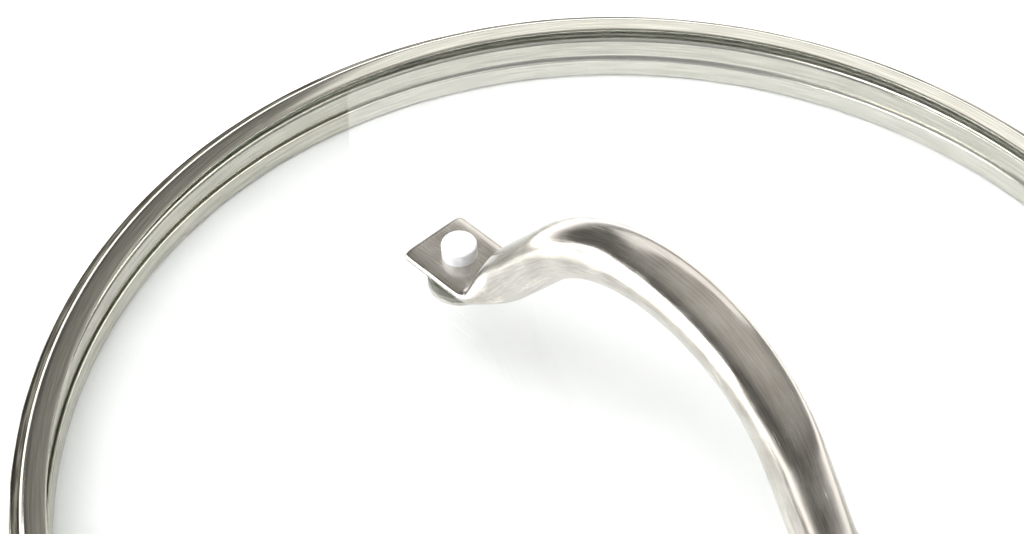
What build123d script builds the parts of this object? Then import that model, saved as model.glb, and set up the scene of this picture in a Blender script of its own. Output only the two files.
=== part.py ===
from build123d import *

import os
from math import asin, cos, degrees, radians, sin, sqrt, tan

# A domed glass pan lid in a rolled steel ring, with an arched tube handle on two rivets.
# The lid stands on the lower edge of its skirt. Z points up through the middle of the
# glass, the handle runs along X, and the origin is on the lid's axis at the skirt's
# lower edge. All sizes are in millimetres.

# Fit to the pan
pan_bore = 200.0  # inside diameter of the pan that the lid fits
skirt_clearance = 1.2  # gap all round between the skirt and the pan wall
rim_overhang = 4.0  # from the pan's inside wall to the outer edge of the ring

# Ring, rolled from one strip of sheet
ring_sheet = 0.6
skirt_depth = 7.7  # from the face that sits on the pan rim to the skirt's lower edge
bead_radius = 1.15  # outside radius of the rolled outer bead
lip_width = 6.1  # from the outer edge to the inner edge of the lip on the glass
skirt_bend_radius = 0.6  # centre line of the bend from the flange to the skirt
hem_radius = 0.55  # centre line of the roll at the skirt's lower edge
hem_height = 3.6  # height of the folded hem above the lower edge
hem_gap = 0.15  # space between the tip of the hem and the skirt

# Glass
glass_thickness = 4.0
crown_rise = 12.7  # of the upper surface, from the edge of the glass to its middle
edge_overhang = 2.7  # from the edge of the glass to the outside of the bead
edge_rounding = 1.2
seal_thickness = 0.4  # bedding between the glass and the ring
seal_inset = 0.5  # from the inner edge of the lip to the bedding

# Handle, a round tube pressed flat at both ends
rivet_pitch = 94.0
grip_rise = 33.6  # from the crown of the glass to the middle of the grip tube
leg_angle = 56.4  # of the straight legs, from level
bar_width = 9.7
bar_height = 8.8
bar_corner = 4.0
flat_corner_share = 0.47  # of the tab's thickness, the most that its corners are rounded
tube_wall = 0.95
tab_width = 13.0
tab_end_reach = 7.0  # from the rivet to the end of the tab
foot_reach = 8.0  # from the rivet to the fold where the leg rises
foot_bend_radius = 4.0
foot_blend = 7.0  # length of leg over which the flat tab opens into the tube
foot_stations = 12
tab_first_station = -2  # where the flat tab ends, just short of the bend
bore_first_station = 4  # nearest to the tab that the tube is open inside

# Rivets and the soft pieces that keep metal off the glass
shank_radius = 2.0
post_shoulder = 1.0  # from the shank to the outside of the post above the tab
post_height = 3.0
post_rounding = 0.9
dimple_radius = 0.7
dimple_depth = 0.4
dimple_taper = 30.0
head_radius = 4.2
head_height = 1.5
head_rounding = 0.9
bush_flange_radius = 5.0
bush_flange_thickness = 0.8
bush_wall = 0.9
gasket_radius = 5.6
gasket_thickness = 0.8
washer_radius = 5.6
washer_thickness = 0.8
slip_clearance = 0.05  # radial gap on the rivet's shank and around the bush
seat_gap = 0.05  # lets flat pieces sit against the curved glass
drill_reach = 15.0  # how far the drill for a rivet hole goes above and below the glass

# Places that follow from the sizes above
lid_radius = pan_bore / 2 + rim_overhang
glass_radius = lid_radius - edge_overhang
dome_radius = (glass_radius**2 + crown_rise**2) / (2 * crown_rise)
corner_radius = glass_radius - edge_rounding  # where the rounding of the glass edge begins
lower_corner_height = skirt_depth + ring_sheet + seal_thickness + edge_rounding
dome_centre = lower_corner_height - sqrt(
    (dome_radius - glass_thickness + edge_rounding) ** 2 - corner_radius**2
)
crown_height = dome_centre + dome_radius
upper_corner_height = dome_centre + sqrt((dome_radius - edge_rounding) ** 2 - corner_radius**2)
edge_slope = degrees(asin(corner_radius / (dome_radius - edge_rounding)))
bead_height = (upper_corner_height + lower_corner_height) / 2
skirt_radius = pan_bore / 2 - skirt_clearance - ring_sheet / 2
lip_end = lid_radius - lip_width
seat_inner_edge = skirt_radius + skirt_bend_radius
tab_thickness = 2 * tube_wall
rivet_reach = rivet_pitch / 2
tab_slope = degrees(asin(rivet_reach / dome_radius))
hole_radius = shank_radius + slip_clearance + bush_wall + slip_clearance
post_radius = shank_radius + post_shoulder


def dome_height(radius, depth=0.0):
    """Height of the glass at a radius, on its upper surface or at a depth below it."""
    return dome_centre + sqrt((dome_radius - depth) ** 2 - radius**2)


def rivet_plane(side, lift=0.0):
    """Plane square to the glass at one rivet, at a height above the glass."""
    normal = Vector(side * rivet_reach, 0, dome_height(rivet_reach) - dome_centre).normalized()
    foot = Vector(side * rivet_reach, 0, dome_height(rivet_reach))
    return Plane(origin=foot + normal * lift, x_dir=(0, 1, 0), z_dir=normal)


def rim_point(middle, radius, angle):
    """Point on a circle in the section, at an angle from the outward direction."""
    return (middle[0] + radius * cos(radians(angle)), middle[1] + radius * sin(radians(angle)))


def ring_centre_line():
    """Centre line of the ring's sheet, from the lip on the glass to the tip of the hem."""
    half_sheet = ring_sheet / 2
    skin = seal_thickness + half_sheet
    wrap = edge_rounding + skin
    upper = (corner_radius, upper_corner_height)
    lower = (corner_radius, lower_corner_height)
    bend = (seat_inner_edge, skirt_depth + half_sheet - skirt_bend_radius)
    hem = (skirt_radius - hem_radius, half_sheet + hem_radius)
    lip_angle = 90 - edge_slope
    lip_tip = (lip_end, dome_height(lip_end, -skin))
    hem_tip = (skirt_radius - ring_sheet - hem_gap, hem_height)
    with BuildLine() as centre_line:
        Line(lip_tip, rim_point(upper, wrap, lip_angle))
        ThreePointArc(
            rim_point(upper, wrap, lip_angle),
            rim_point(upper, wrap, lip_angle / 2),
            rim_point(upper, wrap, 0),
        )
        Line(rim_point(upper, wrap, 0), rim_point(lower, wrap, 0))
        ThreePointArc(
            rim_point(lower, wrap, 0), rim_point(lower, wrap, -45), rim_point(lower, wrap, -90)
        )
        Line(rim_point(lower, wrap, -90), rim_point(bend, skirt_bend_radius, 90))
        ThreePointArc(
            rim_point(bend, skirt_bend_radius, 90),
            rim_point(bend, skirt_bend_radius, 135),
            rim_point(bend, skirt_bend_radius, 180),
        )
        Line(rim_point(bend, skirt_bend_radius, 180), rim_point(hem, hem_radius, 0))
        ThreePointArc(
            rim_point(hem, hem_radius, 0),
            rim_point(hem, hem_radius, -90),
            rim_point(hem, hem_radius, -180),
        )
        Line(rim_point(hem, hem_radius, -180), hem_tip)
    return centre_line.line


def make_rim_ring():
    """Rolled steel ring: lip over the glass, outer bead, seat, skirt and hem."""
    centre_line = ring_centre_line()
    with BuildPart() as rim_ring:
        with BuildSketch(Plane.XZ):
            trace(centre_line, ring_sheet)
            with Locations((lid_radius - bead_radius, bead_height)):
                Circle(bead_radius)
        revolve(axis=Axis.Z)
    rim_ring.part.label = "rim_ring"
    return rim_ring.part


def glass_section():
    """Half of the glass in section, with its edge rounded."""
    middle = glass_radius / 2
    upper_edge = (glass_radius, dome_height(glass_radius))
    lower_edge = (glass_radius, dome_height(glass_radius, glass_thickness))
    lower_crown = (0, dome_height(0, glass_thickness))
    with BuildSketch() as section:
        with BuildLine():
            ThreePointArc((0, crown_height), (middle, dome_height(middle)), upper_edge)
            Line(upper_edge, lower_edge)
            ThreePointArc(lower_edge, (middle, dome_height(middle, glass_thickness)), lower_crown)
            Line(lower_crown, (0, crown_height))
        make_face()
        fillet(section.vertices().group_by(Axis.X)[-1], edge_rounding)
    return section.sketch


def make_glass_dome():
    """Toughened glass cap with a rounded edge and a hole for each rivet's bush."""
    with BuildPart() as glass_dome:
        with BuildSketch(Plane.XZ):
            add(glass_section())
        revolve(axis=Axis.Z)
        for side in (-1, 1):
            with BuildSketch(rivet_plane(side, drill_reach)):
                Circle(hole_radius)
            extrude(amount=-2 * drill_reach, mode=Mode.SUBTRACT)
    glass_dome.part.label = "glass_dome"
    return glass_dome.part


def make_rim_seal(glass_dome, rim_ring):
    """Thin bedding that lines the ring's channel around the edge of the glass."""
    with BuildPart() as rim_seal:
        with BuildSketch(Plane.XZ):
            add(glass_section())
            offset(amount=seal_thickness)
            with Locations((0, bead_height)):
                above = (Align.CENTER, Align.MIN)
                below = (Align.CENTER, Align.MAX)
                Rectangle(2 * (lip_end + seal_inset), crown_height, align=above, mode=Mode.SUBTRACT)
                Rectangle(2 * seat_inner_edge, crown_height, align=below, mode=Mode.SUBTRACT)
        revolve(axis=Axis.Z)
        add(glass_dome, mode=Mode.SUBTRACT)
        add(rim_ring, mode=Mode.SUBTRACT)
    rim_seal.part.label = "rim_seal"
    return rim_seal.part


# Handle. Its right half is made and mirrored. Angles are from level, rising to the middle.


def along(angle):
    """Direction of the tube's middle line toward the lid's middle, at an angle from level."""
    return Vector(-cos(radians(angle)), 0, sin(radians(angle)))


def outward(angle):
    """Direction square to the tube's middle line, on its upper side."""
    return Vector(sin(radians(angle)), 0, cos(radians(angle)))


tab_middle = rivet_plane(1, bush_flange_thickness + seat_gap + tab_thickness / 2).origin
fold = tab_middle + along(tab_slope) * foot_reach
bend_reach = foot_bend_radius * tan(radians(leg_angle - tab_slope) / 2)
bend_start = fold - along(tab_slope) * bend_reach
bend_centre = bend_start + outward(tab_slope) * foot_bend_radius
bend_end = bend_centre - outward(leg_angle) * foot_bend_radius
bend_length = foot_bend_radius * radians(leg_angle - tab_slope)
grip_height = crown_height + grip_rise
leg_top_reach = fold.X - (grip_height - fold.Z) / tan(radians(leg_angle))
arch_radius = leg_top_reach / tan(radians(leg_angle / 2))
arch_centre = Vector(0, 0, grip_height - arch_radius)
arch_end = arch_centre + outward(leg_angle) * arch_radius
leg_start = bend_end + along(leg_angle) * foot_blend


def foot_plane(station):
    """Plane across the tube at a station, counted from the start of the bend to the full tube."""
    travelled = station / foot_stations * (bend_length + foot_blend)
    if travelled < 0:
        angle = tab_slope
        middle = bend_start + along(angle) * travelled
    elif travelled < bend_length:
        angle = tab_slope + degrees(travelled / foot_bend_radius)
        middle = bend_centre - outward(angle) * foot_bend_radius
    else:
        angle = leg_angle
        middle = bend_end + along(angle) * (travelled - bend_length)
    return Plane(origin=middle, x_dir=(0, 1, 0), z_dir=along(angle))


def smooth_step(share):
    """Ease in and out between 0 and 1."""
    return share * share * (3 - 2 * share)


def tube_outline(station, shrink):
    """Outline across the tube at a station, shrunk by the wall for the bore."""
    swell = smooth_step(max(station, 0) / foot_stations)
    width = tab_width + (bar_width - tab_width) * swell - 2 * shrink
    height = tab_thickness + (bar_height - tab_thickness) * swell - 2 * shrink
    RectangleRounded(width, height, min(bar_corner - shrink, flat_corner_share * height))


def half_tube(shrink, first_station):
    """Right half of the tube above its tab, solid to a distance inside its outer surface."""
    with BuildPart() as half:
        for station in range(first_station, foot_stations + 1):
            with BuildSketch(foot_plane(station)):
                tube_outline(station, shrink)
        loft()
        with BuildSketch(foot_plane(foot_stations)):
            tube_outline(foot_stations, shrink)
        extrude(amount=(arch_end - leg_start).length)
        with BuildSketch(Plane(origin=arch_end, x_dir=(0, 1, 0), z_dir=along(leg_angle))):
            tube_outline(foot_stations, shrink)
        revolve(axis=Axis(arch_centre, (0, -1, 0)), revolution_arc=leg_angle)
    return half.part


def make_handle_bar():
    """Steel tube bent to an arch, pressed flat at both ends, with a rivet hole in each tab."""
    outside = half_tube(0, tab_first_station)
    bore = half_tube(tube_wall, bore_first_station)
    tab_start = foot_plane(tab_first_station)
    tab_length = tab_end_reach + (tab_start.origin - tab_middle).length
    with BuildPart() as handle_bar:
        add(outside)
        with BuildSketch(tab_start):
            tube_outline(tab_first_station, 0)
        extrude(amount=-tab_length)
        add(bore, mode=Mode.SUBTRACT)
        with BuildSketch(rivet_plane(1, drill_reach)):
            Circle(shank_radius + slip_clearance)
        extrude(amount=-2 * drill_reach, mode=Mode.SUBTRACT)
        mirror(about=Plane.YZ)
    handle_bar.part.label = "handle_bar"
    return handle_bar.part


# Fastenings, stacked on each rivet's axis. Heights are from the upper surface of the glass.
tab_top = bush_flange_thickness + seat_gap + tab_thickness
gasket_top = -glass_thickness - seat_gap
washer_top = gasket_top - gasket_thickness
head_top = washer_top - washer_thickness


def side_height(edge, foot):
    """Height of an edge along a rivet's axis."""
    return (edge.center() - foot.origin).dot(foot.z_dir)


def make_rivet(side, name):
    """Aluminium rivet: round head under the glass, shank, and a rounded post above the tab."""
    foot = rivet_plane(side)
    section_plane = Plane(origin=foot.origin, x_dir=foot.x_dir, z_dir=foot.x_dir.cross(foot.z_dir))
    head_bottom = head_top - head_height
    post_top = tab_top + post_height
    with BuildPart() as rivet:
        with BuildSketch(section_plane):
            with Locations((0, head_bottom)):
                Rectangle(head_radius, head_height, align=(Align.MIN, Align.MIN))
            with Locations((0, head_top)):
                Rectangle(shank_radius, tab_top - head_top, align=(Align.MIN, Align.MIN))
            with Locations((0, tab_top)):
                Rectangle(post_radius, post_height, align=(Align.MIN, Align.MIN))
        revolve(axis=Axis(foot.origin, foot.z_dir))
        rings = rivet.edges().filter_by(GeomType.CIRCLE).sort_by(lambda edge: side_height(edge, foot))
        fillet(rings[0], head_rounding)
        rings = rivet.edges().filter_by(GeomType.CIRCLE).sort_by(lambda edge: side_height(edge, foot))
        fillet(rings[-1], post_rounding)
        with BuildSketch(rivet_plane(side, post_top)):
            Circle(dimple_radius)
        extrude(amount=-dimple_depth, taper=dimple_taper, mode=Mode.SUBTRACT)
    rivet.part.label = name
    return rivet.part


def make_bush(side, name):
    """Soft flanged bush: a pad under the tab and a sleeve through the glass."""
    with BuildPart() as bush:
        with BuildSketch(rivet_plane(side)):
            Circle(bush_flange_radius)
        extrude(amount=bush_flange_thickness)
        with BuildSketch(rivet_plane(side)):
            Circle(hole_radius - slip_clearance)
        extrude(amount=-glass_thickness)
        with BuildSketch(rivet_plane(side, drill_reach)):
            Circle(shank_radius + slip_clearance)
        extrude(amount=-2 * drill_reach, mode=Mode.SUBTRACT)
    bush.part.label = name
    return bush.part


def make_flat_ring(side, name, top, thickness, outer_radius):
    """Flat ring around one rivet, under the glass."""
    with BuildPart() as flat_ring:
        with BuildSketch(rivet_plane(side, top)):
            Circle(outer_radius)
            Circle(shank_radius + slip_clearance, mode=Mode.SUBTRACT)
        extrude(amount=-thickness)
    flat_ring.part.label = name
    return flat_ring.part


def make_all_pieces():
    """Every piece of the lid, in the order it goes together."""
    glass_dome = make_glass_dome()
    rim_ring = make_rim_ring()
    pieces = [glass_dome, rim_ring, make_rim_seal(glass_dome, rim_ring), make_handle_bar()]
    for side, word in ((-1, "left"), (1, "right")):
        pieces.append(make_bush(side, f"{word}_bush"))
        pieces.append(make_flat_ring(side, f"{word}_gasket", gasket_top, gasket_thickness, gasket_radius))
        pieces.append(make_flat_ring(side, f"{word}_washer", washer_top, washer_thickness, washer_radius))
        pieces.append(make_rivet(side, f"{word}_rivet"))
    return pieces


if __name__ == "__main__":
    os.makedirs("parts", exist_ok=True)
    for piece in make_all_pieces():
        export_step(piece, f"parts/{piece.label}.step")
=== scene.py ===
import logging
from dataclasses import dataclass, field
from enum import Enum
from math import asin, cos, degrees, pi, radians, sin, sqrt, tan

import bmesh
import bpy
from mathutils import Matrix, Vector


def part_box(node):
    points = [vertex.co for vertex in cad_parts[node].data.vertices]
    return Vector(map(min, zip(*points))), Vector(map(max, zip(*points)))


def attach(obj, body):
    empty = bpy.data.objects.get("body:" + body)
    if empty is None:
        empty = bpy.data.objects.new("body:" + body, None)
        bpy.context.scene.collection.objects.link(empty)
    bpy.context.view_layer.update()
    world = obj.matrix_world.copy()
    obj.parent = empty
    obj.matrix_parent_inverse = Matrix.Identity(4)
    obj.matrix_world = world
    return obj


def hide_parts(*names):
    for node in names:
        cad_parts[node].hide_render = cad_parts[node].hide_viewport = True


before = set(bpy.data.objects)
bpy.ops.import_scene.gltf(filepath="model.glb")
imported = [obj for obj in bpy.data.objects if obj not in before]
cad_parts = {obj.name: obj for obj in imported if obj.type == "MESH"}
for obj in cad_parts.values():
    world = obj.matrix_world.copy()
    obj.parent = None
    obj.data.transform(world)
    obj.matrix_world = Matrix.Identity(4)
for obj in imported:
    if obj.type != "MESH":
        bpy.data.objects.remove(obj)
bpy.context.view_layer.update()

# Looks of a glass saucepan lid: a toughened dome in a rolled steel ring, with an arched tube handle.
# The lid stands on the lower edge of its skirt at z = 0, with its axis on Z and its handle along X.
# Sizes are in metres.

MM = 0.001
MERGE_DISTANCE = 1e-7
ROOT = "root"
log = logging.getLogger("lid")


class Side(Enum):
    """The two ends of the handle."""

    LEFT = -1
    RIGHT = 1

    def node(self, piece: str) -> str:
        """Name of a piece at this end."""
        return f"{self.name.lower()}_{piece}"


# ---------------------------------------------------------------- finishes


class NodeMaterial:
    """A node material around one Principled shader."""

    def __init__(self, name: str) -> None:
        """Starts a material with a Principled shader and object coordinates.

        Args:
            name: the material's name.
        """
        self.material = bpy.data.materials.new(name)
        self.material.use_nodes = True
        self.tree = self.material.node_tree
        self.shader = self.tree.nodes["Principled BSDF"]
        self.coordinates = self.add("ShaderNodeTexCoord").outputs["Object"]

    def add(self, kind: str, **settings: object) -> bpy.types.Node:
        """Adds a node.

        Args:
            kind: the node's type.
            **settings: values for the node's own properties.

        Returns:
            The new node.
        """
        node = self.tree.nodes.new(kind)
        for name, value in settings.items():
            setattr(node, name, value)
        return node

    def link(self, source: bpy.types.NodeSocket, target: bpy.types.NodeSocket) -> None:
        """Joins two sockets."""
        self.tree.links.new(source, target)

    def set_shader(self, **values: object) -> None:
        """Sets sockets of the shader that are the same all over.

        Args:
            **values: socket names with underscores for spaces, and their values.
        """
        for name, value in values.items():
            self.shader.inputs[name.replace("_", " ")].default_value = value

    def math(self, operation: str, first: object, second: object = 0.0) -> bpy.types.NodeSocket:
        """Adds a math node.

        Args:
            operation: the operation's name.
            first: a socket or a number.
            second: a socket or a number.

        Returns:
            The result's socket.
        """
        node = self.add("ShaderNodeMath", operation=operation)
        for slot, value in enumerate((first, second)):
            if isinstance(value, bpy.types.NodeSocket):
                self.link(value, node.inputs[slot])
            else:
                node.inputs[slot].default_value = value
        return node.outputs[0]

    def noise(self, vector: bpy.types.NodeSocket, scale: float, detail: float = 3.0) -> bpy.types.NodeSocket:
        """Adds a noise texture and returns its value.

        Args:
            vector: where the noise is read.
            scale: its scale per metre.
            detail: its number of octaves.

        Returns:
            The noise's socket, from 0 to 1.
        """
        node = self.add("ShaderNodeTexNoise")
        node.inputs["Scale"].default_value = scale
        node.inputs["Detail"].default_value = detail
        self.link(vector, node.inputs["Vector"])
        return node.outputs["Fac"]

    def spread(self, value: bpy.types.NodeSocket, low: float, high: float, floor: float = 0.3,
               ceiling: float = 0.7) -> bpy.types.NodeSocket:
        """Maps a texture's value to a range.

        Args:
            value: the texture's socket.
            low: the result at the floor.
            high: the result at the ceiling.
            floor: the texture's value that gives low.
            ceiling: the texture's value that gives high.

        Returns:
            The mapped socket.
        """
        node = self.add("ShaderNodeMapRange")
        self.link(value, node.inputs["Value"])
        for name, number in (("From Min", floor), ("From Max", ceiling), ("To Min", low), ("To Max", high)):
            node.inputs[name].default_value = number
        return node.outputs["Result"]

    def stretched(self, scale: tuple[float, float, float]) -> bpy.types.NodeSocket:
        """Stretches the material's coordinates.

        Args:
            scale: the factors along X, Y and Z.

        Returns:
            The stretched coordinates.
        """
        node = self.add("ShaderNodeMapping")
        node.inputs["Scale"].default_value = scale
        self.link(self.coordinates, node.inputs["Vector"])
        return node.outputs["Vector"]

    def bump(self, height: bpy.types.NodeSocket, distance: float, strength: float = 1.0) -> None:
        """Gives the shader a bump.

        Args:
            height: the height's socket, from 0 to 1.
            distance: the height of 1 in metres.
            strength: how much of it shows.
        """
        node = self.add("ShaderNodeBump")
        node.inputs["Strength"].default_value = strength
        node.inputs["Distance"].default_value = distance
        self.link(height, node.inputs["Height"])
        self.link(node.outputs["Normal"], self.shader.inputs["Normal"])

    def tone(self, factor: bpy.types.NodeSocket, dark: tuple[float, float, float],
             light: tuple[float, float, float]) -> bpy.types.NodeSocket:
        """Makes a colour that runs between two tones.

        Args:
            factor: the mix, from 0 to 1.
            dark: the colour at 0.
            light: the colour at 1.

        Returns:
            The colour's socket.
        """
        ramp = self.add("ShaderNodeValToRGB")
        ramp.color_ramp.elements[0].color = (*dark, 1)
        ramp.color_ramp.elements[1].color = (*light, 1)
        self.link(factor, ramp.inputs["Fac"])
        return ramp.outputs["Color"]

    def tint(self, factor: bpy.types.NodeSocket, dark: tuple[float, float, float],
             light: tuple[float, float, float]) -> None:
        """Runs the base colour between two tones.

        Args:
            factor: the mix, from 0 to 1.
            dark: the colour at 0.
            light: the colour at 1.
        """
        self.link(self.tone(factor, dark, light), self.shader.inputs["Base Color"])

    def blend(self, factor: bpy.types.NodeSocket, first: bpy.types.NodeSocket,
              second: bpy.types.NodeSocket) -> None:
        """Runs the base colour between two colours that vary.

        Args:
            factor: the mix, from 0 to 1.
            first: the colour at 0.
            second: the colour at 1.
        """
        mix = self.add("ShaderNodeMix", data_type="RGBA")
        self.link(factor, mix.inputs["Factor"])
        for source, name in ((first, "A"), (second, "B")):
            self.link(source, next(s for s in mix.inputs if s.name == name and s.type == "RGBA"))
        result = next(s for s in mix.outputs if s.type == "RGBA")
        self.link(result, self.shader.inputs["Base Color"])


@dataclass(frozen=True)
class RolledSteel:
    """Polished ring steel with fine rolling lines that run round the lid, and a painted shade that darkens its outer
    bead.
    """

    dark: tuple[float, float, float] = (0.46, 0.45, 0.39)
    light: tuple[float, float, float] = (0.64, 0.63, 0.565)
    # Painted shade: past these radii the outer bead takes this dark tone, which stands in for the dark reflection
    # along it.
    painted_bead_shade: tuple[float, float, float] = (0.17, 0.155, 0.135)
    painted_bead_shade_radius: tuple[float, float] = (102.0 * MM, 102.4 * MM)
    roughness: tuple[float, float] = (0.10, 0.22)
    line_scale: float = 2700.0
    line_height: float = 0.000004
    line_share: float = 0.6
    turn_length: float = 0.004  # what one radian round the lid counts as, so that the lines run long
    patch_scale: float = 22.0
    painted_bead_shade_reach: tuple[float, float] = (0.42, 0.58)

    def build(self) -> bpy.types.Material:
        """Makes the material.

        Returns:
            The material.
        """
        m = NodeMaterial("rolled_steel")
        split = m.add("ShaderNodeSeparateXYZ")
        m.link(m.coordinates, split.inputs[0])
        x, y, z = split.outputs
        radius = m.math("SQRT", m.math("ADD", m.math("MULTIPLY", x, x), m.math("MULTIPLY", y, y)))
        turn = m.math("ARCTAN2", y, x)
        polar = m.add("ShaderNodeCombineXYZ")
        m.link(radius, polar.inputs[0])
        m.link(m.math("MULTIPLY", turn, self.turn_length), polar.inputs[1])
        m.link(z, polar.inputs[2])
        lines = m.noise(polar.outputs[0], self.line_scale, 4)
        patches = m.noise(m.coordinates, self.patch_scale, 3)
        plain = m.tone(m.spread(lines, 0.0, 1.0), self.dark, self.light)
        # Painted shade on the outer bead: its lines run from the painted dark tone up to the plain dark tone.
        painted_bead_shade = m.tone(m.spread(lines, 0.0, 1.0, *self.painted_bead_shade_reach), self.painted_bead_shade, self.dark)
        m.blend(m.spread(radius, 0.0, 1.0, *self.painted_bead_shade_radius), plain, painted_bead_shade)
        wear = m.math("ADD", m.math("MULTIPLY", lines, self.line_share),
                      m.math("MULTIPLY", patches, 1 - self.line_share))
        m.link(m.spread(wear, *self.roughness), m.shader.inputs["Roughness"])
        m.set_shader(Metallic=1.0)
        m.bump(lines, self.line_height)
        return m.material


@dataclass(frozen=True)
class SatinSteel:
    """Handle steel: a soft satin polish, with fine lines along the piece and faint handling marks.

    The lines follow the piece's own straightened coordinates where it has them.
    """

    name: str = "satin_steel"
    attribute: str = ""
    dark: tuple[float, float, float] = (0.49, 0.455, 0.41)
    light: tuple[float, float, float] = (0.66, 0.63, 0.585)
    roughness: tuple[float, float] = (0.16, 0.30)
    grain: tuple[float, float, float] = (260.0, 4200.0, 4200.0)
    mark_scale: float = 190.0
    grain_height: float = 0.0000016
    tone_reach: tuple[float, float] = (0.36, 0.62)

    def build(self) -> bpy.types.Material:
        """Makes the material.

        Returns:
            The material.
        """
        m = NodeMaterial(self.name)
        if self.attribute:
            m.coordinates = m.add("ShaderNodeAttribute", attribute_name=self.attribute).outputs["Vector"]
        grain = m.noise(m.stretched(self.grain), 1.0, 4)
        marks = m.noise(m.coordinates, self.mark_scale, 5)
        mix = m.math("ADD", m.math("MULTIPLY", grain, 0.5), m.math("MULTIPLY", marks, 0.5))
        m.tint(m.spread(mix, 0.0, 1.0, *self.tone_reach), self.dark, self.light)
        m.link(m.spread(mix, *self.roughness), m.shader.inputs["Roughness"])
        m.set_shader(Metallic=1.0)
        m.bump(grain, self.grain_height)
        return m.material


@dataclass(frozen=True)
class CastAluminium:
    """Pale rivet aluminium with turning marks and small dents from the riveting."""

    dark: tuple[float, float, float] = (0.74, 0.76, 0.79)
    light: tuple[float, float, float] = (0.93, 0.94, 0.95)
    roughness: tuple[float, float] = (0.30, 0.50)
    metallic: float = 0.4  # the dull skin scatters part of the light
    dent_scale: float = 900.0
    dent_height: float = 0.00003
    dent_share: float = 0.6
    scratches: tuple[float, float, float] = (300.0, 2600.0, 300.0)

    def build(self) -> bpy.types.Material:
        """Makes the material.

        Returns:
            The material.
        """
        m = NodeMaterial("rivet_aluminium")
        dents = m.noise(m.coordinates, self.dent_scale, 3)
        scratches = m.noise(m.stretched(self.scratches), 2.0, 4)
        m.tint(m.spread(dents, 0.0, 1.0), self.dark, self.light)
        m.link(m.spread(scratches, *self.roughness), m.shader.inputs["Roughness"])
        m.set_shader(Metallic=self.metallic)
        m.bump(m.math("ADD", m.math("MULTIPLY", dents, self.dent_share),
                      m.math("MULTIPLY", scratches, 1 - self.dent_share)), self.dent_height)
        return m.material


@dataclass(frozen=True)
class ClearGlass:
    """Toughened soda glass, clear, with the faintest waviness and wiping marks."""

    tint: tuple[float, float, float] = (0.985, 0.995, 0.99)
    index: float = 1.5
    roughness: tuple[float, float] = (0.0, 0.012)
    wipes: tuple[float, float, float] = (14.0, 60.0, 30.0)
    wipe_reach: tuple[float, float] = (0.55, 0.8)
    wave_scale: float = 26.0
    wave_height: float = 0.00003
    wave_strength: float = 0.3

    def build(self) -> bpy.types.Material:
        """Makes the material.

        Returns:
            The material.
        """
        m = NodeMaterial("clear_glass")
        wipes = m.noise(m.stretched(self.wipes), 1.0, 4)
        waves = m.noise(m.coordinates, self.wave_scale, 1)
        m.set_shader(Base_Color=(*self.tint, 1.0), Transmission_Weight=1.0, IOR=self.index)
        m.link(m.spread(wipes, *self.roughness, *self.wipe_reach), m.shader.inputs["Roughness"])
        m.bump(waves, self.wave_height, self.wave_strength)
        return m.material


@dataclass(frozen=True)
class Silicone:
    """Translucent silicone with a fine matt grain."""

    dark: tuple[float, float, float] = (0.52, 0.52, 0.44)
    light: tuple[float, float, float] = (0.70, 0.70, 0.61)
    roughness: tuple[float, float] = (0.35, 0.5)
    transmission: float = 0.55
    index: float = 1.41
    grain_scale: float = 500.0
    grain_height: float = 0.00002

    def build(self) -> bpy.types.Material:
        """Makes the material.

        Returns:
            The material.
        """
        m = NodeMaterial("clear_silicone")
        cloud = m.noise(m.coordinates, self.grain_scale, 3)
        m.tint(m.spread(cloud, 0.0, 1.0), self.dark, self.light)
        m.link(m.spread(cloud, *self.roughness), m.shader.inputs["Roughness"])
        m.set_shader(Transmission_Weight=self.transmission, IOR=self.index)
        m.bump(cloud, self.grain_height)
        return m.material


@dataclass(frozen=True)
class PaleFloor:
    """White table with a painted pool of light: white round the lid, then greying with distance from it as painted
    falloff of light.
    """

    white: float = 0.92
    grey: float = 0.22
    white_reach: float = 0.24
    grey_reach: float = 0.42
    roughness: float = 0.6
    specular: float = 0.2

    def build(self) -> bpy.types.Material:
        """Makes the material.

        Returns:
            The material.
        """
        m = NodeMaterial("pale_floor")
        length = m.add("ShaderNodeVectorMath", operation="LENGTH")
        m.link(m.coordinates, length.inputs[0])
        # Painted pool of light: the table's colour falls from white near the lid to grey further off.
        m.tint(m.spread(length.outputs["Value"], 0.0, 1.0, self.white_reach, self.grey_reach),
               (self.white,) * 3, (self.grey,) * 3)
        m.set_shader(Roughness=self.roughness, Specular_IOR_Level=self.specular)
        return m.material


# ---------------------------------------------------------------- mesh helpers


def finish_mesh(bm: bmesh.types.BMesh, name: str, material: bpy.types.Material,
                sharp_angle: float = 35.0) -> bpy.types.Object:
    """Turns a bmesh into a smooth-shaded object with outward faces.

    Args:
        bm: the mesh, in the lid's own frame. It is freed.
        name: the object's name.
        material: its material.
        sharp_angle: edges that turn more than this, in degrees, stay sharp.

    Returns:
        The new object.
    """
    bmesh.ops.remove_doubles(bm, verts=bm.verts, dist=MERGE_DISTANCE)
    bmesh.ops.recalc_face_normals(bm, faces=bm.faces)
    mesh = bpy.data.meshes.new(name)
    bm.to_mesh(mesh)
    bm.free()
    mesh.shade_smooth()
    mesh.set_sharp_from_angle(angle=radians(sharp_angle))
    mesh.materials.append(material)
    piece = bpy.data.objects.new(name, mesh)
    bpy.context.collection.objects.link(piece)
    return piece


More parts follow.
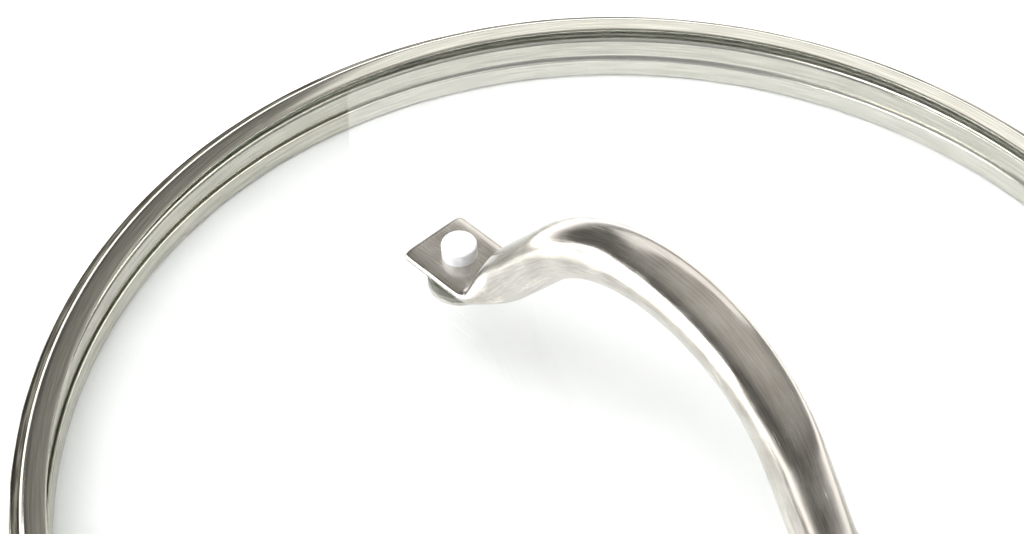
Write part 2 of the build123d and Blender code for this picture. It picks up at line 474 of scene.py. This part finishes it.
@dataclass
class Outline:
    """A section outline, as points at a radius and a height, to be spun round an axis."""

    points: list[tuple[float, float]] = field(default_factory=list)

    def to(self, radius: float, height: float) -> "Outline":
        """Adds a corner."""
        self.points.append((radius, height))
        return self

    def arc(self, centre: tuple[float, float], radius: float, start: float, end: float,
            steps: int) -> "Outline":
        """Adds an arc.

        Args:
            centre: its centre, as a radius and a height.
            radius: its own radius.
            start: the angle of its first point, in degrees from outward.
            end: the angle of its last point.
            steps: how many straight steps it takes.

        Returns:
            This outline.
        """
        for step in range(steps + 1):
            angle = radians(start + (end - start) * step / steps)
            self.to(centre[0] + radius * cos(angle), centre[1] + radius * sin(angle))
        return self

    def spin(self, segments: int, closed: bool) -> bmesh.types.BMesh:
        """Spins the outline round Z.

        Args:
            segments: how many steps make the full turn.
            closed: whether the last point joins the first, for an outline that doesn't touch the axis.

        Returns:
            The spun mesh.
        """
        bm = bmesh.new()
        verts = [bm.verts.new((radius, 0, height)) for radius, height in self.points]
        pairs = list(zip(verts, verts[1:])) + ([(verts[-1], verts[0])] if closed else [])
        edges = [bm.edges.new(pair) for pair in pairs]
        bmesh.ops.spin(bm, geom=verts + edges, cent=(0, 0, 0), axis=(0, 0, 1), angle=2 * pi,
                       steps=segments, use_merge=True)
        bmesh.ops.remove_doubles(bm, verts=bm.verts, dist=MERGE_DISTANCE)
        return bm


# ---------------------------------------------------------------- glass and ring


@dataclass
class GlassDome:
    """The toughened glass cap."""

    thickness: float = 4.0 * MM
    rise: float = 12.7 * MM
    rounding: float = 1.2 * MM
    segments: int = 288
    arc_steps: int = 40

    def __post_init__(self) -> None:
        """Takes the glass's place from its node."""
        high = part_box("glass_dome")[1]
        self.radius = high.x
        self.curve = (self.radius**2 + self.rise**2) / (2 * self.rise)
        self.crown = high.z
        self.centre = self.crown - self.curve
        self.corner_radius = self.radius - self.rounding

    def height(self, radius: float, depth: float = 0.0) -> float:
        """Height of the upper surface, or of a surface at a depth below it, at a radius."""
        return self.centre + sqrt((self.curve - depth) ** 2 - radius**2)

    def rounding_centre(self, upper: bool) -> tuple[float, float]:
        """Centre of one of the two roundings of the edge."""
        depth = self.rounding if upper else self.thickness - self.rounding
        return (self.corner_radius, self.height(self.corner_radius, depth))

    @property
    def edge_slope(self) -> float:
        """Slope of the glass where the rounding begins, in degrees."""
        return degrees(asin(self.corner_radius / self.curve))

    def build(self, material: bpy.types.Material, cutters: list["RivetPlace"],
              hole: float) -> bpy.types.Object:
        """Spins the cap and cuts its holes.

        Args:
            material: the glass.
            cutters: where the holes are.
            hole: their radius.

        Returns:
            The glass.
        """
        outline = Outline()
        slope = self.edge_slope
        for step in range(self.arc_steps + 1):
            angle = radians(slope * step / self.arc_steps)
            outline.to(self.curve * sin(angle), self.centre + self.curve * cos(angle))
        outline.arc(self.rounding_centre(True), self.rounding, 90 - slope, 0, 8)
        outline.arc(self.rounding_centre(False), self.rounding, 0, -90 - slope, 10)
        inner = self.curve - self.thickness
        for step in range(self.arc_steps, -1, -1):
            angle = radians(slope * step / self.arc_steps)
            outline.to(inner * sin(angle), self.centre + inner * cos(angle))
        bm = outline.spin(self.segments, closed=False)
        for place in cutters:
            bm = self.drilled(bm, place, hole)
        piece = finish_mesh(bm, "glass_cap", material, 50)
        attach(piece, ROOT)
        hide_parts("glass_dome")
        return piece

    def drilled(self, bm: bmesh.types.BMesh, place: "RivetPlace", hole: float) -> bmesh.types.BMesh:
        """Cuts one hole through the glass.

        Args:
            bm: the glass, which is freed.
            place: the rivet that the hole is for.
            hole: the hole's radius.

        Returns:
            The cut glass.
        """
        blank = bpy.data.meshes.new("blank")
        bm.to_mesh(blank)
        bm.free()
        body = bpy.data.objects.new("blank", blank)
        drill_mesh = bpy.data.meshes.new("drill")
        drill = bmesh.new()
        bmesh.ops.create_cone(drill, cap_ends=True, segments=64, radius1=hole, radius2=hole,
                              depth=6 * self.thickness, matrix=place.matrix())
        drill.to_mesh(drill_mesh)
        drill.free()
        tool = bpy.data.objects.new("drill", drill_mesh)
        for item in (body, tool):
            bpy.context.collection.objects.link(item)
        cut = body.modifiers.new("cut", "BOOLEAN")
        cut.operation = "DIFFERENCE"
        cut.solver = "EXACT"
        cut.object = tool
        result = bpy.data.meshes.new_from_object(body.evaluated_get(bpy.context.evaluated_depsgraph_get()))
        out = bmesh.new()
        out.from_mesh(result)
        for item in (body, tool):
            bpy.data.objects.remove(item)
        for mesh in (blank, drill_mesh, result):
            bpy.data.meshes.remove(mesh)
        return out


@dataclass
class RimRing:
    """The rolled steel ring: lip, outer bead, seat, skirt and hem."""

    glass: GlassDome
    sheet: float = 0.6 * MM
    seal: float = 0.4 * MM
    bead: float = 1.15 * MM
    lip_width: float = 6.1 * MM
    skirt_radius: float = 98.5 * MM
    bend: float = 0.6 * MM
    hem: float = 0.55 * MM
    hem_height: float = 3.6 * MM
    hem_gap: float = 0.15 * MM
    lip_turn: float = 165.0  # how far the lip's end is rounded, in degrees
    bead_join: float = 24.0  # where the bead meets the wraps above and below it, in degrees
    segments: int = 300

    def outline(self) -> Outline:
        """Draws the section of the ring, once round the sheet.

        Returns:
            The section.
        """
        low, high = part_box("rim_ring")
        radius = high.x
        half = self.sheet / 2
        upper = self.glass.rounding_centre(True)
        lower = self.glass.rounding_centre(False)
        inside = self.glass.rounding + self.seal
        outside = inside + self.sheet
        slope = self.glass.edge_slope
        bead_middle = (radius - self.bead, (upper[1] + lower[1]) / 2)
        wall = upper[0] + outside - bead_middle[0]
        crease = degrees(pi - asin(sqrt(1 - (wall / self.bead) ** 2))) if wall < 0 else 90.0
        lip_end = radius - self.lip_width
        lip_low = self.glass.height(lip_end, -self.seal)
        lip_high = self.glass.height(lip_end, -self.seal - self.sheet)
        lip_mid = (lip_end, (lip_low + lip_high) / 2)
        flange_low = lower[1] - outside
        bend_middle = (self.skirt_radius + self.bend, flange_low + half - self.bend)
        hem_middle = (self.skirt_radius - self.hem, low.z + half + self.hem)
        tip = (self.skirt_radius - self.sheet - self.hem_gap, self.hem_height)
        o = Outline()
        o.arc(lip_mid, half, 90 - slope + self.lip_turn, 90 - slope, 8)
        o.arc(upper, outside, 90 - slope, self.bead_join, 10)
        o.arc(bead_middle, self.bead, crease, -crease, 28)
        o.arc(lower, outside, -self.bead_join, -90, 10)
        o.arc(bend_middle, self.bend - half, 90, 180, 6)
        o.arc(hem_middle, self.hem + half, 0, -180, 14)
        lean = degrees(asin((tip[0] - (self.skirt_radius - 2 * self.hem)) / (tip[1] - hem_middle[1])))
        o.arc(tip, half, 180 - lean, -lean, 8)
        o.arc(hem_middle, self.hem - half, -180, 0, 10)
        o.arc(bend_middle, self.bend + half, 180, 90, 8)
        o.arc(lower, inside, -90, 0, 10)
        o.arc(upper, inside, 0, 90 - slope, 10)
        return o

    def build(self, material: bpy.types.Material) -> bpy.types.Object:
        """Spins the ring.

        Args:
            material: the ring's steel.

        Returns:
            The ring.
        """
        piece = finish_mesh(self.outline().spin(self.segments, closed=True), "steel_ring", material, 40)
        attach(piece, ROOT)
        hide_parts("rim_ring")
        return piece


# ---------------------------------------------------------------- rivets and what they hold


@dataclass
class RivetPlace:
    """One rivet's axis, square to the glass."""

    side: Side
    glass: GlassDome

    def __post_init__(self) -> None:
        """Takes the place from the rivet's washer."""
        low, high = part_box(self.side.node("washer"))
        middle = (low + high) / 2
        centre = Vector((0, 0, self.glass.centre))
        self.normal = (Vector(middle) - centre).normalized()
        self.foot = centre + self.normal * self.glass.curve

    def matrix(self) -> Matrix:
        """Turns a piece made on Z, with the glass's surface at height 0, into its place."""
        turn = Vector((0, 0, 1)).rotation_difference(self.normal).to_matrix().to_4x4()
        return Matrix.Translation(self.foot) @ turn


@dataclass
class Fastening:
    """A rivet with its bush, gasket and washer."""

    place: RivetPlace
    glass_thickness: float
    shank: float = 2.0 * MM
    slip: float = 0.05 * MM
    gap: float = 0.05 * MM
    post: float = 3.0 * MM
    post_height: float = 3.0 * MM
    post_rounding: float = 0.9 * MM
    dimple: float = 0.75 * MM
    dimple_depth: float = 0.4 * MM
    dimple_floor: float = 0.45  # the dimple's flat floor as a share of its radius
    dimple_easing: float = 0.2 * MM
    head: float = 4.2 * MM
    head_height: float = 1.5 * MM
    head_rounding: float = 0.9 * MM
    bush_radius: float = 5.0 * MM
    bush_thickness: float = 0.8 * MM
    bush_wall: float = 0.9 * MM
    disc_radius: float = 5.6 * MM
    disc_thickness: float = 0.8 * MM
    tab_thickness: float = 1.9 * MM
    edge: float = 0.15 * MM
    segments: int = 96

    @property
    def sleeve(self) -> float:
        """Outer radius of the bush's sleeve."""
        return self.shank + self.slip + self.bush_wall

    @property
    def hole(self) -> float:
        """Radius of the hole in the glass."""
        return self.sleeve + self.slip

    def place_piece(self, outline: Outline, closed: bool, name: str, material: bpy.types.Material) -> bpy.types.Object:
        """Spins an outline and puts it on the rivet's axis in place of its node.

        Args:
            outline: the section, with heights from the upper surface of the glass.
            closed: whether the section is a ring.
            name: the piece's plain name.
            material: its material.

        Returns:
            The piece.
        """
        bm = outline.spin(self.segments, closed)
        bmesh.ops.transform(bm, matrix=self.place.matrix(), verts=bm.verts)
        piece = finish_mesh(bm, f"{self.place.side.name.lower()}_{name}_turned", material, 40)
        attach(piece, ROOT)
        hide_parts(self.place.side.node(name))
        return piece

    def flat_ring(self, top: float, thickness: float, radius: float) -> Outline:
        """Draws the section of a flat ring with eased edges.

        Args:
            top: height of its upper face.
            thickness: its thickness.
            radius: its outer radius.

        Returns:
            The section.
        """
        bore = self.shank + self.slip
        e = self.edge
        o = Outline()
        o.arc((radius - e, top - e), e, 90, 0, 4)
        o.arc((radius - e, top - thickness + e), e, 0, -90, 4)
        o.arc((bore + e, top - thickness + e), e, -90, -180, 4)
        o.arc((bore + e, top - e), e, 180, 90, 4)
        return o

    def rivet_outline(self, head_top: float, tab_top: float) -> Outline:
        """Draws the section of the rivet from the dimple at its top to the middle of its head.

        Args:
            head_top: height of the head's flat face.
            tab_top: height of the tab's upper face.

        Returns:
            The section.
        """
        top = tab_top + self.post_height
        bottom = head_top - self.head_height
        o = Outline()
        o.to(0, top - self.dimple_depth).to(self.dimple * self.dimple_floor, top - self.dimple_depth)
        easing = self.dimple_easing
        o.arc((self.dimple + easing, top - easing), easing, 150, 90, 4)
        o.arc((self.post - self.post_rounding, top - self.post_rounding), self.post_rounding, 90, 0, 10)
        o.to(self.post, tab_top).to(self.shank, tab_top).to(self.shank, head_top)
        o.arc((self.head - self.edge, head_top - self.edge), self.edge, 90, 0, 3)
        o.arc((self.head - self.head_rounding, bottom + self.head_rounding), self.head_rounding, 0, -90, 10)
        o.to(0, bottom)
        return o

    def build(self, silicone: bpy.types.Material, steel: bpy.types.Material,
              aluminium: bpy.types.Material) -> list[bpy.types.Object]:
        """Makes the four pieces on one rivet's axis.

        Args:
            silicone: material of the bush and the gasket.
            steel: material of the washer.
            aluminium: material of the rivet.

        Returns:
            The bush, the gasket, the washer and the rivet.
        """
        gasket_top = -self.glass_thickness - self.gap
        washer_top = gasket_top - self.disc_thickness
        head_top = washer_top - self.disc_thickness
        tab_top = self.bush_thickness + self.gap + self.tab_thickness
        e = self.edge
        bush = Outline()
        bush.arc((self.bush_radius - e, self.bush_thickness - e), e, 90, 0, 4)
        bush.arc((self.bush_radius - e, e), e, 0, -90, 4)
        bush.to(self.sleeve, 0).to(self.sleeve, -self.glass_thickness)
        bush.to(self.shank + self.slip, -self.glass_thickness).to(self.shank + self.slip, self.bush_thickness)
        gasket = self.flat_ring(gasket_top, self.disc_thickness, self.disc_radius)
        washer = self.flat_ring(washer_top, self.disc_thickness, self.disc_radius)
        rivet = self.rivet_outline(head_top, tab_top)
        return [
            self.place_piece(bush, True, "bush", silicone),
            self.place_piece(gasket, True, "gasket", silicone),
            self.place_piece(washer, True, "washer", steel),
            self.place_piece(rivet, False, "rivet", aluminium),
        ]


# ---------------------------------------------------------------- handle


@dataclass
class HandleBar:
    """The bent tube, pressed flat into a square tab at each end."""

    place: RivetPlace
    tube_width: float = 9.7 * MM
    tube_height: float = 8.8 * MM
    tab_width: float = 13.0 * MM
    tab_thickness: float = 1.9 * MM
    tab_lift: float = 0.85 * MM
    tab_reach: float = 7.0 * MM
    foot_reach: float = 8.0 * MM
    leg_angle: float = 56.4
    bend: float = 4.0 * MM
    blend: float = 7.0 * MM
    tab_corner: float = 1.0 * MM
    tab_easing: float = 0.55 * MM
    tab_squareness: float = 9.0  # powers of the outline's curve: 2 is an ellipse, and more is squarer
    tube_squareness: float = 2.4
    section_points: int = 64
    corner_steps: int = 6
    tab_steps: int = 12
    foot_steps: int = 26
    leg_steps: int = 8
    arch_steps: int = 44
    straightened: str = "straightened"

    def __post_init__(self) -> None:
        """Works out the middle line of the right half from the rivet and the handle's own box."""
        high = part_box("handle_bar")[1]
        self.slope = degrees(asin(abs(self.place.normal.x)))
        self.tab_middle = self.place.foot + self.place.normal * (self.tab_lift + self.tab_thickness / 2)
        self.fold = self.tab_middle + self.along(self.slope) * self.foot_reach
        self.grip = high.z - self.tube_height / 2
        corner = self.fold.x - (self.grip - self.fold.z) / tan(radians(self.leg_angle))
        self.arch = corner / tan(radians(self.leg_angle / 2))
        reach = self.bend * tan(radians(self.leg_angle - self.slope) / 2)
        self.bend_start = self.fold - self.along(self.slope) * reach
        self.bend_centre = self.bend_start + self.outward(self.slope) * self.bend
        self.bend_end = self.bend_centre - self.outward(self.leg_angle) * self.bend
        self.bend_length = self.bend * radians(self.leg_angle - self.slope)

    @staticmethod
    def along(angle: float) -> Vector:
        """Direction of the middle line toward the lid's middle, at an angle from level."""
        return Vector((-cos(radians(angle)), 0, sin(radians(angle))))

    @staticmethod
    def outward(angle: float) -> Vector:
        """Direction square to the middle line, on the tube's upper side."""
        return Vector((sin(radians(angle)), 0, cos(radians(angle))))

    def foot_station(self, travelled: float) -> tuple[Vector, float]:
        """Finds the middle line's place and angle.

        Args:
            travelled: the distance along it from the start of the bend.

        Returns:
            The place, and the angle in degrees from level.
        """
        if travelled < self.bend_length:
            angle = self.slope + degrees(travelled / self.bend)
            return self.bend_centre - self.outward(angle) * self.bend, angle
        return self.bend_end + self.along(self.leg_angle) * (travelled - self.bend_length), self.leg_angle

    def stations(self) -> list[tuple[Vector, float, float, float]]:
        """Sections from the tab's end to the top of the arch.

        Returns:
            The place, the angle and the swell of each, and how far it is drawn in, from 1 at the
            very end of the tab to 0 where its corners have ended.
        """
        flat_length = (self.bend_start - self.tab_middle).length + self.tab_reach
        tab_end = self.bend_start - self.along(self.slope) * flat_length
        result = []
        for step in range(self.corner_steps):
            turn = pi / 2 * step / self.corner_steps
            place = tab_end + self.along(self.slope) * self.tab_corner * (1 - cos(turn))
            result.append((place, self.slope, 0.0, 1 - sin(turn)))
        corner_end = tab_end + self.along(self.slope) * self.tab_corner
        for step in range(self.tab_steps):
            place = corner_end.lerp(self.bend_start, step / self.tab_steps)
            result.append((place, self.slope, 0.0, 0.0))
        foot_length = self.bend_length + self.blend
        for step in range(self.foot_steps + 1):
            share = step / self.foot_steps
            middle, angle = self.foot_station(share * foot_length)
            result.append((middle, angle, share * share * (3 - 2 * share), 0.0))
        leg_start, _ = self.foot_station(foot_length)
        arch_centre = Vector((0, 0, self.grip - self.arch))
        arch_end = arch_centre + self.outward(self.leg_angle) * self.arch
        for step in range(1, self.leg_steps):
            result.append((leg_start.lerp(arch_end, step / self.leg_steps), self.leg_angle, 1.0, 0.0))
        for step in range(self.arch_steps + 1):
            angle = self.leg_angle * (1 - step / self.arch_steps)
            result.append((arch_centre + self.outward(angle) * self.arch, angle, 1.0, 0.0))
        return result

    def section_point(self, share: float, swell: float, drawn_in: float) -> tuple[float, float]:
        """Point on the tube's outline.

        Args:
            share: how far round the outline, from 0 to 1, from the +Y side over the top.
            swell: 0 on the flat tab, 1 on the full tube.
            drawn_in: 1 at the very end of the tab, 0 past its corners.

        Returns:
            The point's offset along Y and its height above the middle line.
        """
        width = self.tab_width + (self.tube_width - self.tab_width) * swell - 2 * self.tab_corner * drawn_in
        height = self.tab_thickness + (self.tube_height - self.tab_thickness) * swell
        height -= 2 * self.tab_easing * drawn_in
        turn = 2 * pi * share
        power = 2 / (self.tab_squareness + (self.tube_squareness - self.tab_squareness) * swell)
        across = abs(cos(turn)) ** power * (1 if cos(turn) > 0 else -1)
        up = abs(sin(turn)) ** (2 / self.tube_squareness) * (1 if sin(turn) > 0 else -1)
        return across * width / 2, up * height / 2

    def build(self, material: bpy.types.Material) -> bpy.types.Object:
        """Draws the section along the middle line, closes the tab's end and mirrors the half.

        Args:
            material: the handle's steel.

        Returns:
            The handle.
        """
        bm = bmesh.new()
        bm.verts.layers.float_vector.new(self.straightened)
        circle = bmesh.ops.create_circle(bm, cap_ends=False, radius=1.0, segments=self.section_points)
        ring = list(circle["verts"])
        edges = bm.edges[:]
        order = {vert: index for index, vert in enumerate(ring)}
        stations = self.stations()
        travelled = 0.0
        self.shape_ring(bm, ring, stations[0], travelled)
        first = ring
        for previous, station in zip(stations, stations[1:]):
            travelled += (station[0] - previous[0]).length
            grown = bmesh.ops.extrude_edge_only(bm, edges=edges)
            new_verts = [item for item in grown["geom"] if isinstance(item, bmesh.types.BMVert)]
            new_edges = [item for item in grown["geom"] if isinstance(item, bmesh.types.BMEdge)]
            mapped: list[bmesh.types.BMVert] = [None] * len(ring)
            for vert in new_verts:
                for edge in vert.link_edges:
                    other = edge.other_vert(vert)
                    if other in order:
                        mapped[order[other]] = vert
            ring = mapped
            order = {vert: index for index, vert in enumerate(ring)}
            edges = [edge for edge in new_edges if edge.verts[0] in order and edge.verts[1] in order]
            self.shape_ring(bm, ring, station, travelled)
        bmesh.ops.contextual_create(bm, geom=first)
        bmesh.ops.mirror(bm, geom=bm.verts[:] + bm.edges[:] + bm.faces[:], axis="X", merge_dist=1e-6)
        piece = finish_mesh(bm, "arched_handle", material, 50)
        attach(piece, ROOT)
        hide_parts("handle_bar")
        return piece

    def shape_ring(self, bm: bmesh.types.BMesh, ring: list[bmesh.types.BMVert],
                   station: tuple[Vector, float, float, float], travelled: float) -> None:
        """Moves one ring of the tube to its place and outline, and notes where it lies on a straight bar.

        Args:
            bm: the tube's mesh.
            ring: the ring's vertices, in order.
            station: the ring's place, angle, swell and how far it is drawn in.
            travelled: its distance along the middle line from the tab's end.
        """
        middle, angle, swell, drawn_in = station
        layer = bm.verts.layers.float_vector[self.straightened]
        for index, vert in enumerate(ring):
            across, up = self.section_point(index / len(ring), swell, drawn_in)
            vert[layer] = (travelled, across, up)
            vert.co = middle + Vector((0, across, 0)) + self.outward(angle) * up


# ---------------------------------------------------------------- stage


@dataclass(frozen=True)
class Softbox:
    """One soft light.

    Its bearing is in degrees clockwise from straight away from the camera, and its height in
    degrees above the table. Radiance is how bright its face looks, where 1 is a white sheet.
    """

    name: str
    bearing: float
    height: float
    distance: float
    size: tuple[float, float]
    radiance: float
    mirrored: bool = True


SOFTBOXES = (
    Softbox("back_window", 14.7, 21, 1.5, (1.555, 0.80), 1.15),
    Softbox("left_softbox", -106, 12, 1.0, (1.5, 0.40), 6.5),
    Softbox("overhead", -120, 68, 1.3, (0.45, 0.40), 60.0, mirrored=False),
    Softbox("right_fill", 60, 62, 1.3, (0.9, 0.9), 3.0, mirrored=False),
)


@dataclass
class Studio:
    """White table, soft lights and the camera."""

    azimuth: float = 44.0
    elevation: float = 50.645
    distance: float = 4.9458
    roll: float = 3.7558
    aim_right: float = -0.2425
    aim_away: float = 0.4068
    aim_height: float = 11.2 * MM
    lens: float = 105.47
    bright_bearing: float = 60.0
    bright_height: float = 60.0
    room_spread: float = 0.25
    room_bright: float = 0.68
    room_dark: float = 0.14
    room_tone: tuple[float, float, float] = (1.0, 0.98, 0.93)
    sensor: float = 36.0
    near_clip: float = 10 * MM
    floor_reach: float = 4.0
    floor_drop: float = 0.1 * MM  # keeps the floor clear of the skirt's lower edge

    def __post_init__(self) -> None:
        """Takes the ring's radius as the unit of the camera's place."""
        self.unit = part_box("rim_ring")[1].x
        turn = radians(self.azimuth)
        self.right = Vector((cos(turn), sin(turn), 0))
        self.away = Vector((-sin(turn), cos(turn), 0))

    def add_camera(self) -> None:
        """Adds the camera."""
        tilt = radians(self.elevation)
        back = -self.away * cos(tilt) + Vector((0, 0, sin(tilt)))
        up = back.cross(self.right)
        turn = radians(self.roll)
        right = self.right * cos(turn) + up * sin(turn)
        up = up * cos(turn) - self.right * sin(turn)
        aim = (self.right * self.aim_right + self.away * self.aim_away) * self.unit
        aim.z = self.aim_height
        data = bpy.data.cameras.new("camera")
        data.lens = self.lens
        data.sensor_width = self.sensor
        data.clip_start = self.near_clip
        camera = bpy.data.objects.new("camera", data)
        rotation = Matrix((right, up, back)).transposed().to_4x4()
        camera.matrix_world = Matrix.Translation(aim + back * self.distance * self.unit) @ rotation
        bpy.context.collection.objects.link(camera)
        bpy.context.scene.camera = camera

    def add_floor(self) -> None:
        """Adds the white table."""
        bm = bmesh.new()
        bmesh.ops.create_grid(bm, x_segments=8, y_segments=8, size=self.floor_reach,
                              matrix=Matrix.Translation((0, 0, -self.floor_drop)))
        finish_mesh(bm, "floor", PaleFloor().build())

    def add_softbox(self, box: "Softbox") -> None:
        """Adds a rectangular soft light that faces the lid.

        Args:
            box: the light's place, size and brightness.
        """
        turn = radians(box.bearing)
        flat = self.away * cos(turn) + self.right * sin(turn)
        tilt = radians(box.height)
        place = (flat * cos(tilt) + Vector((0, 0, sin(tilt)))) * box.distance
        data = bpy.data.lights.new(box.name, "AREA")
        data.shape = "RECTANGLE"
        data.size, data.size_y = box.size
        data.energy = box.radiance * pi * box.size[0] * box.size[1]
        light = bpy.data.objects.new(box.name, data)
        light.location = place
        light.rotation_euler = place.to_track_quat("Z", "Y").to_euler()
        light.visible_glossy = box.mirrored
        bpy.context.collection.objects.link(light)

    def add_world(self) -> None:
        """Adds the room, light beyond the lid and dark on the camera's left."""
        world = bpy.data.worlds.new("room")
        world.use_nodes = True
        tree = world.node_tree
        background = tree.nodes["Background"]
        turn = radians(self.bright_bearing)
        tilt = radians(self.bright_height)
        bright = (self.away * cos(turn) + self.right * sin(turn)) * cos(tilt) + Vector((0, 0, sin(tilt)))
        direction = tree.nodes.new("ShaderNodeTexCoord").outputs["Generated"]
        facing = tree.nodes.new("ShaderNodeVectorMath")
        facing.operation = "DOT_PRODUCT"
        facing.inputs[1].default_value = bright
        level = tree.nodes.new("ShaderNodeMapRange")
        for name, number in (("From Min", self.room_spread), ("From Max", 1.0), ("To Min", self.room_dark),
                             ("To Max", self.room_bright)):
            level.inputs[name].default_value = number
        tree.links.new(direction, facing.inputs[0])
        tree.links.new(facing.outputs["Value"], level.inputs["Value"])
        tree.links.new(level.outputs["Result"], background.inputs["Strength"])
        background.inputs["Color"].default_value = (*self.room_tone, 1)
        bpy.context.scene.world = world

    def build(self) -> None:
        """Builds the stage."""
        bpy.context.scene.view_settings.view_transform = "Standard"
        self.add_camera()
        self.add_floor()
        self.add_world()
        for box in SOFTBOXES:
            self.add_softbox(box)


def main() -> None:
    """Builds the lid and its stage."""
    logging.basicConfig(level=logging.INFO, format="%(name)s: %(message)s")
    ring_steel = RolledSteel().build()
    satin_steel = SatinSteel("washer_steel").build()
    aluminium = CastAluminium().build()
    silicone = Silicone().build()
    glass = GlassDome()
    places = {side: RivetPlace(side, glass) for side in Side}
    pieces = []
    for side in Side:
        pieces += Fastening(places[side], glass.thickness).build(silicone, satin_steel, aluminium)
    hole = Fastening(places[Side.LEFT], glass.thickness).hole
    pieces.append(glass.build(ClearGlass().build(), list(places.values()), hole))
    pieces.append(RimRing(glass).build(ring_steel))
    handle = HandleBar(places[Side.RIGHT])
    pieces.append(handle.build(SatinSteel("handle_steel", handle.straightened).build()))
    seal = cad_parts["rim_seal"]
    seal.data.materials.clear()
    seal.data.materials.append(silicone)
    for piece in pieces:
        log.info("%s: %d faces", piece.name, len(piece.data.polygons))
    Studio().build()


if __name__ == "__main__":
    main()
